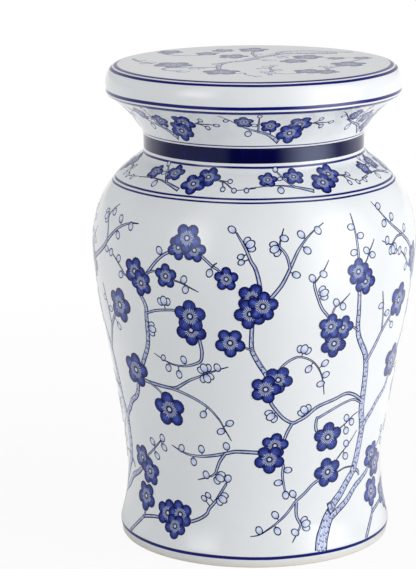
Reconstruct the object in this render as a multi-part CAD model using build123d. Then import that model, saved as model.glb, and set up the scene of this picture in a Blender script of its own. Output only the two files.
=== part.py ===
from build123d import *

import os
from collections import namedtuple
from math import cos, radians, sin

# A hollow ceramic garden stool, thrown as separate clay sections and luted together.
# All sections are turned about Z. The floor is Z = 0 and the seat faces +Z.
# Sizes are in millimetres, directions in degrees above the outward radius.

# Diameters of the outside, from the floor up
FOOT_DIAMETER = 258.2
WAIST_DIAMETER = 243.8
BELLY_DIAMETER = 304.8
NECK_DIAMETER = 206.8
RIM_DIAMETER = 277.0

# Rises of the outside, from the floor up; together they are the stool's height
FOOT_RISE = 11.0
WAIST_RISE = 49.0
BARREL_RISE = 226.0
SHOULDER_RISE = 77.0
NECK_BLEND_RISE = 10.5
NECK_RISE = 14.0
COLLAR_RISE = 36.3
RIM_CORNER_RISE = 4.8
RIM_FACE_RISE = 5.4
SEAT_ROLL_RISE = 16.85

# Radial steps of the outside
FOOT_TAPER = 1.4
FOOT_EDGE_ROUND = 1.8
NECK_BLEND_STEP = 6.8
NECK_FLARE = 0.5
RIM_UNDERCUT = 2.1
RIM_FACE_BULGE = 0.4
SEAT_ROLL_STEP = 12.5

# Directions in which the outside passes its stations
UPRIGHT = 90.0
LEVEL_INWARD = 180.0
SHOULDER_DIRECTION = 144.5
NECK_TOP_DIRECTION = 75.0
FLARE_DIRECTION = 32.0

# Clay thickness and seams
WALL = 8.0
SEAM_LAP = 5.0
SEAT_THICKNESS = 12.0
SEAT_STEP = 6.0
SEAT_LEDGE = 7.0
FOOT_LAND = 16.0
COIL_RADIUS = 4.0

# A station is a point of the outside with the direction of the curve there. Its two pulls say
# how far the curve keeps to that direction below and above it, as shares of the next chord.
Station = namedtuple("Station", "radius height direction pull_below pull_above")


def make_stations():
    """The stations of the stool's outside, by name, from the foot to the seat."""
    neck = NECK_DIAMETER / 2
    rim = RIM_DIAMETER / 2
    rows = [
        ("foot", FOOT_DIAMETER / 2, FOOT_RISE, UPRIGHT, 0.3, 0.1),
        ("waist", WAIST_DIAMETER / 2, WAIST_RISE, UPRIGHT, 0.6, 0.27),
        ("belly", BELLY_DIAMETER / 2, BARREL_RISE, UPRIGHT, 0.26, 0.57),
        ("shoulder_top", neck + NECK_BLEND_STEP, SHOULDER_RISE, SHOULDER_DIRECTION, 0.12, 0.12),
        ("neck_foot", neck, NECK_BLEND_RISE, UPRIGHT, 0.54, 0.6),
        ("neck_top", neck + NECK_FLARE, NECK_RISE, NECK_TOP_DIRECTION, 0.15, 0.14),
        ("flare", rim - RIM_UNDERCUT, COLLAR_RISE, FLARE_DIRECTION, 0.47, 0.36),
        ("rim_foot", rim - RIM_FACE_BULGE, RIM_CORNER_RISE, UPRIGHT, 0.55, 0.33),
        ("rim_face", rim, RIM_FACE_RISE, UPRIGHT, 0.33, 0.55),
        ("seat_edge", rim - SEAT_ROLL_STEP, SEAT_ROLL_RISE, LEVEL_INWARD, 0.3, 0.3),
    ]
    stations = {}
    height = 0.0
    for name, radius, rise, direction, pull_below, pull_above in rows:
        height += rise
        stations[name] = Station(radius, height, direction, pull_below, pull_above)
    return stations


def profile_point(radius, height):
    """A point of the half section that is turned about Z."""
    return Vector(radius, 0, height)


def along(station):
    """Unit vector up along the outside at a station."""
    angle = radians(station.direction)
    return profile_point(cos(angle), sin(angle))


def into_wall(station):
    """Unit vector from the outside into the clay at a station."""
    angle = radians(station.direction)
    return profile_point(-sin(angle), cos(angle))


def outer_point(station):
    return profile_point(station.radius, station.height)


def inner_point(station, lap=0.0):
    """The point of the inside face at a station, lowered along the wall by a seam's lap."""
    return outer_point(station) + into_wall(station) * WALL - along(station) * lap


def curve_between(lower, upper, start, end):
    """A smooth curve from start to end with the directions of two neighbouring stations."""
    chord = (end - start).length
    leave = start + along(lower) * (lower.pull_above * chord)
    arrive = end - along(upper) * (upper.pull_below * chord)
    return Bezier(start, leave, arrive, end)


def outer_curves(run):
    """Curves of the outside through a run of stations."""
    return [
        curve_between(lower, upper, outer_point(lower), outer_point(upper))
        for lower, upper in zip(run, run[1:])
    ]


def inner_curves(run):
    """Curves of the inside face along a run of stations that has a seam at each end."""
    points = [inner_point(station) for station in run]
    points[0] = inner_point(run[0], SEAM_LAP)
    points[-1] = inner_point(run[-1], SEAM_LAP)
    return [
        curve_between(lower, upper, start, end)
        for lower, upper, start, end in zip(run, run[1:], points, points[1:])
    ]


def seam_line(station):
    """The stepped seam through the wall: the upper section's inner half laps the lower section."""
    outside = outer_point(station)
    middle = outside + into_wall(station) * (WALL / 2)
    step = middle - along(station) * SEAM_LAP
    return Polyline(outside, middle, step, inner_point(station, SEAM_LAP))


def half_section(*curves):
    """The flat face that closed curves bound in the plane through the axis."""
    return make_face([edge for curve in curves for edge in curve.edges()])


def turned(*curves):
    """The solid of revolution of a closed half section."""
    return revolve(half_section(*curves), Axis.Z)


def make_shell_section(run):
    """A clay wall between two luted seams."""
    return turned(*outer_curves(run), *inner_curves(run), seam_line(run[0]), seam_line(run[-1]))


def foot_land_points(foot):
    """The foot ring's inside, from the floor up to the seam with the wall above."""
    seam_inside = inner_point(foot, SEAM_LAP)
    land_inside = foot.radius - FOOT_TAPER - FOOT_LAND
    return [
        profile_point(land_inside, 0),
        profile_point(land_inside, seam_inside.Z),
        seam_inside,
    ]


def make_foot_ring(foot):
    """The flat ring that the stool stands on, with its outer edge rounded."""
    base_radius = foot.radius - FOOT_TAPER
    land_start = profile_point(base_radius - FOOT_EDGE_ROUND, 0)
    edge_end = profile_point(base_radius, FOOT_EDGE_ROUND)
    edge = TangentArc(land_start, edge_end, tangent=profile_point(1, 0))
    side_start = foot._replace(pull_above=foot.pull_below)
    side = curve_between(side_start, foot, edge_end, outer_point(foot))
    land = Polyline(land_start, *foot_land_points(foot))
    return turned(edge, side, land, seam_line(foot))


def seat_step_points(seat_edge):
    """The stepped edge where the seat slab drops into the rim, from the top face down."""
    top = seat_edge.height
    ledge_radius = seat_edge.radius - SEAT_LEDGE
    return [
        profile_point(seat_edge.radius, top),
        profile_point(seat_edge.radius, top - SEAT_STEP),
        profile_point(ledge_radius, top - SEAT_STEP),
        profile_point(ledge_radius, top - SEAT_THICKNESS),
    ]


def make_seat_slab(seat_edge):
    """The flat seat, a stepped disc."""
    step = seat_step_points(seat_edge)
    axis_bottom = profile_point(0, seat_edge.height - SEAT_THICKNESS)
    axis_top = profile_point(0, seat_edge.height)
    return turned(Polyline(*step, axis_bottom, axis_top, close=True))


def make_seat_rim(run):
    """The rolled rim, which carries the seat slab on its ledge."""
    inside = Polyline(*seat_step_points(run[-1]), inner_point(run[0], SEAM_LAP))
    return turned(*outer_curves(run), inside, seam_line(run[0]))


def cavity_section(at, shell_runs):
    """Half section of the hollow inside the stool, from the floor to the underside of the seat."""
    foot_inside = foot_land_points(at["foot"])
    seat_underside = seat_step_points(at["seat_edge"])[-1]
    walls = [curve for run in shell_runs.values() for curve in inner_curves(run)]
    below = Polyline(profile_point(0, 0), *foot_inside)
    above = Polyline(
        inner_point(at["flare"], SEAM_LAP),
        seat_underside,
        profile_point(0, seat_underside.Z),
        profile_point(0, 0),
    )
    return half_section(below, *walls, above)


def make_coil(centre, cavity):
    """The roll of soft clay pressed into the inside corner of a seam."""
    roll = Plane(origin=centre, x_dir=Axis.X.direction, z_dir=-Axis.Y.direction) * Circle(COIL_RADIUS)
    return revolve(roll & cavity, Axis.Z)


def make_parts():
    """All sub-parts of the stool by node name."""
    at = make_stations()
    shell_runs = {
        "barrel_shell": [at["foot"], at["waist"], at["belly"]],
        "shoulder_shell": [at["belly"], at["shoulder_top"], at["neck_foot"]],
        "neck_ring": [at["neck_foot"], at["neck_top"]],
        "seat_collar": [at["neck_top"], at["flare"]],
    }
    rim_run = [at["flare"], at["rim_foot"], at["rim_face"], at["seat_edge"]]
    coil_centres = {
        "foot_coil": inner_point(at["foot"], SEAM_LAP),
        "belly_coil": inner_point(at["belly"], SEAM_LAP),
        "neck_coil": inner_point(at["neck_foot"], SEAM_LAP),
        "collar_coil": inner_point(at["neck_top"], SEAM_LAP),
        "rim_coil": inner_point(at["flare"], SEAM_LAP),
        "seat_coil": seat_step_points(at["seat_edge"])[-1],
    }
    cavity = cavity_section(at, shell_runs)
    parts = {"foot_ring": make_foot_ring(at["foot"])}
    for name, run in shell_runs.items():
        parts[name] = make_shell_section(run)
    parts["seat_rim"] = make_seat_rim(rim_run)
    parts["seat_slab"] = make_seat_slab(at["seat_edge"])
    for name, centre in coil_centres.items():
        parts[name] = make_coil(centre, cavity)
    return parts


os.makedirs("parts", exist_ok=True)
for node, solid in make_parts().items():
    export_step(solid, f"parts/{node}.step")
    size = solid.bounding_box().size
    print(f"{node}: {size.X:.1f} x {size.Y:.1f} x {size.Z:.1f} mm, {solid.volume / 1000:.1f} cm3")
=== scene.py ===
"""Turns, glazes and paints a blue and white ceramic garden stool around its packed clay sections."""

from collections import namedtuple
from math import atan2, cos, hypot, pi, radians, sin, sqrt

import bpy
import numpy as np
from mathutils import Matrix, Vector


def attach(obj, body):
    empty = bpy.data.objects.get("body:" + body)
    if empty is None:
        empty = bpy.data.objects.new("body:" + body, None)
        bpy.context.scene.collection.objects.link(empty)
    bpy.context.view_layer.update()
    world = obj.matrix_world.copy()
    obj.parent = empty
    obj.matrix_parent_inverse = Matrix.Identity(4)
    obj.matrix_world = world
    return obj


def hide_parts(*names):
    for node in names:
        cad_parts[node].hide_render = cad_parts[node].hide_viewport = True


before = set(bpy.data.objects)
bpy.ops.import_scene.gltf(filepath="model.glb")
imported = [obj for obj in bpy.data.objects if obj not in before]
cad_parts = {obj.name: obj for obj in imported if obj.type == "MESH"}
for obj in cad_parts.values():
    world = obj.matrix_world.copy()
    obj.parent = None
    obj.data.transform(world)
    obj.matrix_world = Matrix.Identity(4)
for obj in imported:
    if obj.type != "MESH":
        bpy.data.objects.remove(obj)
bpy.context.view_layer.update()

bl_info = {
    "name": "Blossom Garden Stool",
    "version": (1, 0, 0),
    "blender": (4, 5, 0),
    "location": "3D View > Sidebar > Stool",
    "description": "Turns, glazes and paints a ceramic garden stool",
    "category": "Object",
}

MM = 0.001
BODY = "root"

# Stations of the outside wall, from the foot to the seat: radius and height in millimetres, the
# direction of the wall in degrees, and how far the curve keeps to it below and above the station.
Station = namedtuple("Station", "radius height direction pull_below pull_above")
STATIONS = {
    "foot": Station(129.1, 11.0, 90.0, 0.3, 0.1),
    "waist": Station(121.9, 60.0, 90.0, 0.6, 0.27),
    "belly": Station(152.4, 286.0, 90.0, 0.26, 0.57),
    "shoulder_top": Station(110.2, 363.0, 144.5, 0.12, 0.12),
    "neck_foot": Station(103.4, 373.5, 90.0, 0.54, 0.6),
    "neck_top": Station(103.9, 387.5, 75.0, 0.15, 0.14),
    "flare": Station(136.4, 423.8, 32.0, 0.47, 0.36),
    "rim_foot": Station(138.1, 428.6, 90.0, 0.55, 0.33),
    "rim_face": Station(138.5, 434.0, 90.0, 0.33, 0.55),
    "seat_edge": Station(126.0, 450.85, 180.0, 0.3, 0.3),
}
SHELLS = {
    "barrel_shell": ("foot", "waist", "belly"),
    "shoulder_shell": ("belly", "shoulder_top", "neck_foot"),
    "neck_ring": ("neck_foot", "neck_top"),
    "seat_collar": ("neck_top", "flare"),
}
RIM_STATIONS = ("flare", "rim_foot", "rim_face", "seat_edge")
WALL = 8.0
SEAM_LAP = 5.0
SEAT_THICKNESS = 12.0
SEAT_STEP = 6.0
SEAT_LEDGE = 7.0
FOOT_TAPER = 1.4
FOOT_EDGE_ROUND = 1.8
FOOT_LAND = 16.0
OUTSIDE_STEPS = 40
INSIDE_STEPS = 12
FOOT_EDGE_STEPS = 6
SEAT_RINGS = 6

# The seven clay sections and the finish that each one takes in the record
SECTION_SLOTS = {
    "foot_ring": "foot_bisque",
    "barrel_shell": "white_glaze",
    "shoulder_shell": "white_glaze",
    "neck_ring": "cobalt_glaze",
    "seat_collar": "white_glaze",
    "seat_rim": "white_glaze",
    "seat_slab": "white_glaze",
}
COILS = ("foot_coil", "belly_coil", "neck_coil", "collar_coil", "rim_coil", "seat_coil")

# Rings painted round the outside: lower and upper edge in millimetres of height
WALL_RINGS = (
    (8.1, 11.3),
    (342.5, 344.0),
    (345.4, 347.0),
    (369.0, 371.0),
    (389.0, 390.0),
    (422.7, 425.4),
    (427.0, 430.0),
)
# Rings painted round the seat's edge: inner and outer radius in millimetres
SEAT_RING_LINES = ((127.2, 130.5), (132.0, 134.3))
SEAT_RING_LOWEST = 446.0

# Branches: width at the root, width at the tip, then the path in degrees round and millimetres up
PANEL_BRANCHES = (
    (13.0, 10.8, ((28.3, 11), (29.5, 22), (31, 29), (33, 38), (35.5, 46))),
    (8.1, 7.6, ((35, 44), (37, 53), (40.5, 60), (45, 71.5), (48, 79), (49.3, 86))),
    (5.4, 5.8, ((36, 44), (35, 50), (34.4, 55))),
    (6.5, 3.8, ((35, 40), (40, 46.5), (45, 53), (50, 63), (54, 67.5), (58.5, 73), (61, 79), (62.2, 86))),
    (3.8, 2.5, ((50, 80), (52, 77), (52.8, 73))),
    (8.6, 8.1, ((48, 78), (49.7, 90), (50.5, 100), (51, 110), (51.4, 121))),
    (8.1, 4.0, ((51.4, 117), (50.2, 130), (49, 140), (48.6, 152), (48.3, 165), (47.8, 178), (47, 189),
                (45.5, 198), (43, 207), (41, 216), (40, 226), (39.7, 240), (39.2, 256), (38.5, 268))),
    (5.9, 5.0, ((51, 119), (54, 129), (57, 135), (60, 143), (65, 151), (67.2, 160), (68, 170))),
    (4.4, 3.1, ((47, 187), (50, 198), (52.5, 208), (54, 214), (56.5, 221), (59.5, 229), (62, 234))),
    (2.5, 1.2, ((54, 214), (53.5, 228), (52.6, 240), (51.3, 254))),
    (2.5, 2.5, ((40, 222), (37.5, 226), (35, 227))),
    (3.8, 3.8, ((48, 150), (43, 157.5), (38.5, 160.5), (33, 157), (28, 154), (24.5, 150.5), (21, 144),
                (18, 140.5), (15.5, 138.5), (12, 143), (9.5, 149), (7, 157), (6.2, 161))),
    (3.5, 3.0, ((15.3, 138), (13.5, 130), (12.3, 123), (10.5, 119))),
    (2.5, 3.8, ((48, 147), (43.5, 152.5), (40, 152.3), (36, 150), (31, 145.5), (27, 141.5), (25.8, 140),
                (25.7, 131), (27, 126), (30, 122))),
    (1.9, 1.9, ((49, 84), (43, 85.2), (38.5, 83), (35, 84))),
    (3.2, 0.8, ((31, 81), (26, 75), (22, 67), (18, 60), (14, 49.5), (10, 42), (6, 36), (2, 31),
                (-1.8, 29.5))),
    (3.5, 0.9, ((18.5, 59.5), (18.3, 53), (18.5, 46), (19.7, 40), (20, 37), (18.5, 31), (16, 22.5))),
    (1.8, 1.0, ((35, 123), (37.3, 126), (41, 131), (44, 136), (47, 139))),
    (1.8, 1.0, ((35, 90), (37, 94), (40, 101), (44, 109), (48, 120))),
    (3.1, 1.0, ((38.2, 286), (38, 300), (37.7, 315), (37.5, 330))),
    (1.8, 1.0, ((40.5, 283), (42, 288), (43, 294), (45, 301), (46, 305))),
    (3.1, 2.8, ((27, 236), (26.5, 240), (24, 248), (22.3, 258), (21, 268), (20.7, 274))),
    (1.6, 0.9, ((20.8, 272), (24, 283), (26, 292.5))),
    (2.5, 0.9, ((28, 236), (29, 247), (32, 252), (35, 259))),
    (5.5, 4.0, ((5, 180), (4.5, 187), (2, 197), (-0.3, 208), (-0.9, 214), (-0.9, 224), (-0.5, 244))),
    (2.5, 2.0, ((-0.7, 211), (-3, 213.5), (-4, 214.5), (-6.5, 216.5))),
    (4.5, 2.0, ((2, 263), (2, 271), (1.3, 281), (0.3, 289), (-1, 294.5), (-2.3, 303), (-4, 311), (-6, 319))),
    (4.2, 1.0, ((5, 258), (9, 271), (11, 280.5), (12.3, 288), (14.5, 300), (16, 306), (18, 312), (21, 318.5),
                (25.5, 325))),
    (3.0, 1.0, ((12.2, 287), (11.3, 297), (10, 303), (8.8, 307), (9.2, 313), (10.5, 322.5))),
    (2.8, 1.0, ((9, 186), (9.5, 192), (12, 198.5), (15, 202.5), (17, 203), (20, 200.5), (23, 195),
                (25.5, 186), (27, 176), (28, 163.5))),
    (3.2, 1.9, ((10, 101), (12.2, 97), (12, 88), (12.5, 80), (13.3, 71))),
    (4.2, 1.0, ((4, 110), (-4, 111), (-8, 111), (-11, 109.3), (-17, 106), (-22, 104), (-27, 103.5),
                (-31, 105), (-34, 107.5), (-37, 110.3))),
    (3.5, 1.0, ((-12, 109), (-14.5, 101), (-16, 93), (-17, 88), (-19.5, 84.5), (-25, 80))),
    (5.6, 3.8, ((-50, 180), (-47.5, 185), (-45.5, 193), (-43.2, 203), (-42, 213), (-41.7, 224), (-41.3, 237),
                (-41, 243), (-42, 250), (-43.5, 256), (-44, 264))),
    (2.8, 2.5, ((-41.2, 238), (-37, 242), (-33, 244), (-29, 245), (-26, 243))),
    (3.8, 0.9, ((-20, 222), (-19.2, 211), (-19.2, 205), (-19.7, 199.5), (-21, 196.5), (-24, 193.5),
                (-27, 191.8), (-31, 191.8), (-35, 194.5), (-40, 200))),
    (4.2, 1.0, ((-49, 171), (-46, 169.5), (-40, 168.5), (-34, 168), (-31, 169.5), (-28, 174), (-25, 178.5),
                (-21, 183), (-17, 187.5), (-13, 191.5), (-9.5, 194.5))),
    (3.2, 1.0, ((-35, 168), (-30, 166), (-25, 162), (-21, 157.5), (-17.5, 151.5), (-14, 142), (-12, 133),
                (-9.3, 121.5))),
    (2.5, 2.5, ((-45, 169), (-40, 163), (-38, 156))),
    (3.5, 3.0, ((-42, 274), (-40, 275), (-38, 280.5), (-35.5, 288), (-33.5, 293), (-31, 297.5),
                (-28.5, 299.5))),
    (2.5, 2.2, ((-39.5, 276), (-36.5, 279.5), (-34, 278))),
    (2.0, 0.9, ((-29, 274), (-25, 271.5), (-22, 268), (-19, 264.5))),
    (3.0, 2.5, ((-19, 300), (-15.5, 292.5), (-14, 289), (-12, 286), (-10.5, 281))),
    (2.0, 1.0, ((-14.2, 288.6), (-13.4, 290.6), (-12.4, 292.5))),
    (2.5, 1.2, ((-48, 271), (-50.5, 270), (-52, 274), (-54, 279), (-57, 285), (-59, 288))),
    (2.5, 1.2, ((-55, 90), (-50, 98), (-45, 108), (-42, 115))),
    (4.2, 3.1, ((-66, 11), (-62, 20), (-58, 28), (-56.5, 31), (-50, 34.5), (-45, 36), (-41, 39))),
    (2.8, 2.5, ((-56.8, 30), (-56, 37), (-56, 45))),
    (3.8, 2.5, ((-31, 38), (-28, 39), (-24, 43), (-21, 48), (-20, 53), (-17, 61), (-14.5, 70), (-12, 79))),
)
# Blossoms: degrees round, millimetres up, radius in millimetres, turn of the first petal from upright
PANEL_BLOSSOMS = (
    (-45.2, 276, 14, 20), (-42.2, 266, 13, 50), (-31.3, 276.5, 12, 0), (-26.5, 303.5, 11.5, 30),
    (-20.5, 302.5, 11.5, 10), (-23.5, 312.5, 14, 36), (-9.3, 278, 11.5, 0), (-22.7, 228, 15.5, 36),
    (-22.7, 241, 16, 0), (-56, 239, 17.5, 15), (-52, 178, 17.5, 10), (-36, 146, 18, -5),
    (-8.5, 218, 14.5, 36), (-0.5, 260.5, 14.5, 20), (-1.3, 246, 15, 48), (3, 253, 14.5, 5),
    (9, 182, 14, 30), (4.3, 173, 14.5, 18), (8.5, 117, 13, 10), (6.3, 103.5, 14.5, 36),
    (-57.8, 88, 14, 24), (-52.5, 77, 14.5, 0), (-56, 51, 15, 40), (-41, 42, 14, 12),
    (-34, 43.5, 14, 55), (-36.3, 31.5, 12.5, 36), (41.5, 267.5, 13, 25), (38, 278, 13, 0),
    (30, 212.5, 14, 36), (33.2, 227, 12, 15), (28, 229.5, 13, 5), (31.8, 120, 15.5, 0),
    (33.2, 85, 15, -15),
)
# Buds by radius in millimetres, at degrees round and millimetres up
PANEL_BUDS = {
    4.5: (
        (51.4, 240), (55.8, 231), (60.8, 217), (16.8, 68), (9, 49), (9.8, 34), (2, 35), (17.5, 31.5),
        (40.6, 135.5), (43.8, 130.3), (41.2, 122.7), (42.2, 109.5), (42.5, 97), (36.2, 296), (39.7, 310),
        (36.3, 318.5), (41.8, 296), (44.5, 291), (20, 277), (24, 280), (29.5, 252), (32.3, 247.5),
        (-7.6, 321.7), (16.5, 316.5), (18.3, 302.5), (22.8, 319), (14.3, 281.3), (10.4, 314), (20.5, 190.5),
        (27, 194.5), (27.8, 183), (26, 174.5), (14.3, 92), (10.3, 80), (13.6, 67.5), (-11.5, 116),
        (-22.5, 111), (-26.5, 97.5), (-32, 109), (-21, 86), (-26.7, 198), (-33.8, 188), (-29.3, 183),
        (-13.6, 193.5), (-20.5, 146), (-9.8, 139), (-13.5, 130.5), (-34, 299), (-24.3, 275), (-23.8, 266),
        (-15, 283), (-53, 269.5), (-54, 284), (-59, 287.5), (-62.5, 289), (-48.5, 108.5), (-46.5, 95.5),
        (-41.5, 106), (-42, 115), (-11.3, 84),
    ),
    3.7: ((-4.4, 298.5), (-4.2, 293.5), (-35.7, 197), (-22.3, 62.5), (-20.4, 66)),
}
# Clusters of three buds, at the middle one
PANEL_CLUSTERS = (
    (22.6, 38.5), (24.5, 262.5), (-1.2, 309.5), (7, 305), (18.3, 210.5), (6.5, 146), (20, 150.5),
    (-14.8, 84), (-32.7, 253), (-39.2, 223.5), (-18.7, 192), (-17.8, 182), (-13.8, 63.5),
)
PANEL_TURNS = (0, 120, 240)

# The sprig that fills the gap left of the front panel, and the same gap behind
LEFT_SPRIG_BRANCHES = (
    (5.0, 1.0, ((-78, 272), (-74, 278), (-69, 284), (-65, 290.5), (-62, 298), (-59, 305), (-56, 311),
                (-52, 316), (-48, 318.5), (-45, 319))),
    (2.8, 1.5, ((-62.6, 297), (-62.7, 306), (-64, 314), (-65.5, 321))),
    (1.5, 1.0, ((-64.8, 318), (-64, 322), (-62, 327), (-60, 331))),
)
LEFT_SPRIG_BUDS = {4.5: ((-61.5, 323.5), (-55.5, 319.5), (-48.8, 315.5), (-55.3, 305))}
LEFT_SPRIG_CLUSTERS = ((-66.5, 318),)
LEFT_SPRIG_TURNS = (0, 240)
# The sprig that fills the gap right of the front panel
RIGHT_SPRIG_BRANCHES = (
    (4.5, 1.0, ((73, 281), (71, 287), (68.5, 293), (66, 297.5), (63, 303), (58.5, 311), (55, 319),
                (52.5, 327), (50, 336))),
    (2.5, 0.9, ((64, 301), (60, 301.5), (57, 298), (55, 296), (50, 301.5))),
)
RIGHT_SPRIG_BUDS = {4.5: ((52.8, 331), (58.7, 319.5), (53, 316), (66.3, 306), (53, 300.5))}
RIGHT_SPRIG_CLUSTERS = ((56.2, 291),)
RIGHT_SPRIG_TURNS = (0,)

# The spray round the shoulder, six times
SHOULDER_BRANCHES = (
    (1.0, 4.6, ((-2, 354.5), (6, 356), (12, 356), (16, 355), (20, 353.5), (25.5, 350.5))),
    (2.8, 1.2, ((18, 354), (14.5, 359.5), (12.3, 364), (10.6, 367.5))),
    (2.0, 1.0, ((39, 361), (43, 359.3), (45.5, 358), (48, 355), (49.5, 353.2))),
    (1.5, 1.0, ((42, 359.8), (46, 359.3), (48, 359.6))),
    (1.5, 1.0, ((44, 359), (45, 354.5))),
    (1.0, 1.0, ((49.5, 352.4), (53, 353.2), (57, 354), (59, 354.6))),
)
SHOULDER_BLOSSOMS = (
    (6.3, 360.5, 9.4, 10), (18.7, 362, 10.2, 0), (36.8, 361.6, 12, 20), (31.2, 355.9, 12.6, 36),
)
SHOULDER_BUDS = {
    4.4: ((11.3, 352.6),),
    3.4: ((10.6, 368), (12, 361), (47.5, 359.3), (45, 353.3), (49.8, 352.6), (55, 352.8)),
}
SHOULDER_TURNS = (0, 56, 116, 178, 240, 302)

# The spray round the collar, seven times
COLLAR_BRANCHES = (
    (1.0, 5.4, ((-14, 421), (-11, 418), (-8, 413.8), (-5, 409.8), (-2, 407), (2, 404.5), (6, 401.8), (9, 398),
                (12, 393.5))),
    (2.0, 1.2, ((2, 403), (2.1, 412), (2.3, 419.5))),
    (1.5, 1.2, ((7.6, 401), (7.4, 407))),
    (2.0, 1.0, ((24, 411), (28, 411), (32, 410.8), (35, 410.5))),
    (1.5, 1.0, ((26, 411), (28.3, 413.3), (29, 415))),
    (1.5, 1.0, ((27, 411), (29.5, 409), (31, 407.3))),
)
COLLAR_BLOSSOMS = ((-4, 415, 9.4, 0), (7, 410.5, 9.6, 10), (20, 411, 12.4, 30), (16.5, 402.3, 12.8, 36))
COLLAR_BUDS = {
    4.4: ((-2.5, 402.5),),
    3.4: ((-11.3, 416), (2.4, 421), (0.4, 411.3), (29, 415), (31, 407.3), (35.4, 410.5)),
}
COLLAR_COPIES = 7

# The spray on the seat, in millimetres to the right and to the back
SEAT_BRANCHES = (
    (11.0, 9.0, ((80, 66), (56, 65), (36, 65), (25, 62), (14, 49), (3, 34), (-4, 22))),
    (8.0, 4.2, ((-2, 26), (-10, 12), (-22, 4), (-29, -6), (-32, -18), (-32, -35), (-31, -50))),
    (6.5, 3.5, ((25, 62), (24, 71), (30, 78), (44, 82), (58, 81), (72, 76), (92, 71))),
    (4.0, 3.0, ((4, 38), (1, 52), (-1, 66), (0, 80))),
    (4.2, 2.4, ((-32, -32), (-40, -32), (-50, -33), (-58, -31), (-68, -33), (-78, -34), (-83, -42),
                (-79, -51), (-68, -58))),
    (3.0, 2.0, ((-26, -2), (-33, -5), (-36, -12))),
    (4.0, 2.4, ((-113, 30), (-109, 15), (-102, 4), (-94, -5), (-86, -11))),
    (4.0, 2.0, ((15, -86), (15, -68), (17, -51), (15, -38), (18, -28), (20, -19))),
    (2.6, 2.0, ((-16, -72), (-8, -70), (-7, -80), (4, -93))),
    (2.6, 2.6, ((20, -73), (30, -77), (42, -74))),
    (3.6, 2.0, ((64, -55), (68, -46), (66, -36), (62, -26))),
    (3.6, 2.4, ((86, -4), (90, 4), (98, 15), (103, 25))),
    (3.0, 2.4, ((62, 36), (72, 32), (86, 33), (98, 28))),
    (3.6, 2.2, ((-88, 70), (-82, 60), (-72, 53), (-58, 50), (-46, 54))),
    (2.2, 1.6, ((15, 50), (22, 43), (28, 36))),
    (2.2, 1.6, ((-3, 24), (5, 20), (13, 15))),
)
SEAT_BLOSSOMS = (
    (-29, -65, 18, 0), (65, -66, 13.5, 30), (50, -63, 14.5, 10), (88, -15, 17.5, 0), (-74, -16, 19, 36),
    (51, 35, 15.5, 12), (38, 7, 14, 50), (-19, 42, 15, 20), (-44, 62, 12, 0), (-29, 84, 11.5, 44),
    (0, 89, 15.5, 8), (-80, 75, 13, 36), (103, 27, 9.5, 20), (78, 25, 9, 40),
)
SEAT_BUDS = {
    7.0: ((28, 34), (15, 14), (-54, -40), (-64, -61), (15, -71)),
    5.4: ((-95, 2), (20, -50), (71, -41), (-34, -11), (11, -65), (3, 57)),
    4.6: (
        (-105, 13), (-102, -5), (23, -55), (7, -42), (12, -31), (19, -21), (74, -33), (64, -29),
        (4, -94), (-48, -41), (-70, -55), (92, 71), (30, 44),
    ),
}

# Paint lies a little proud of the glaze and starts a little under it, in millimetres. A coat's first
# layer has its lift, and what is painted over other shapes of the same coat lies a step higher.
Coat = namedtuple("Coat", "lift step")
PAINT_SINK = 0.06
STALK_LIFT = 0.04
BOUGH_COAT = Coat(0.06, 0.015)
BUD_COAT = Coat(0.2, 0.03)
BLOSSOM_COAT = Coat(0.3, 0.08)

# Brush strokes, in millimetres, with the points across a stroke in shares of its half width
TRAIL_STEP = 2.0
STROKE_STEPS = 6
STROKE_POINTS = (-1.0, -0.5, 0.0, 0.5, 1.0)
TAPER = 1.8
TWIG_LINE = 0.9
TWIG_LINE_SHARE = 0.65
STALK_WIDTH = 1.2
STALK_REACH = 14.0

# Clusters of three buds, in millimetres
CLUSTER_BUD = 5.0
CLUSTER_SIDE_BUD = 4.3
CLUSTER_ASIDE = 4.0
CLUSTER_BACK = 1.0
CLUSTER_FAN = radians(24)

# The shapes of blossoms and buds, in shares of their radius
PETALS = 5
PETAL_REACH = 0.58
PETAL_ROUND = 0.42
PETAL_POINTS = 6
BLOSSOM_RINGS = 2
BUD_POINTS = 14
BUD_RINGS = 1
BUD_SLIM = 0.76
TONE_STEP = 0.618

# The sides of a raised shape take the glaze's colour: a motif's share goes on past 1 down its side,
# and a stroke's face goes from 1 down to 0.
BASE_SHARE = 2.0
SIDE_SHARE = 1.02
SIDE_FACE = 0.98

# Radius of the circle that sections are turned along, at which the flat painting keeps its width
LAY_RADIUS = STATIONS["belly"].radius * MM
WELD = 0.001 * MM

# The curve of a screen's colours: straight up to a knee, and a power above it
SCREEN_LEVELS = 255
SCREEN_KNEE = 0.04045
SCREEN_SLOPE = 12.92
SCREEN_OFFSET = 0.055
SCREEN_POWER = 2.4


def from_screen(red, green, blue):
    """A colour seen on a screen, 0 to 255, as the linear colour that a shader takes."""
    channels = []
    for value in (red, green, blue):
        share = value / SCREEN_LEVELS
        if share <= SCREEN_KNEE:
            channels.append(share / SCREEN_SLOPE)
        else:
            channels.append(((share + SCREEN_OFFSET) / (1 + SCREEN_OFFSET)) ** SCREEN_POWER)
    return tuple(channels)


def colour_property(name, description, shade):
    """A colour that a user can change."""
    return bpy.props.FloatVectorProperty(
        name=name, description=description, subtype="COLOR", size=3, min=0.0, max=1.0, default=shade
    )


def share_property(name, description, default):
    """A share from none to all."""
    return bpy.props.FloatProperty(
        name=name, description=description, subtype="FACTOR", min=0.0, max=1.0, default=default
    )


def length_property(name, description, default):
    """A length in metres."""
    return bpy.props.FloatProperty(name=name, description=description, unit="LENGTH", default=default)


def angle_property(name, description, degrees):
    """An angle, given in degrees."""
    return bpy.props.FloatProperty(
        name=name, description=description, subtype="ANGLE", default=radians(degrees)
    )


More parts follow.
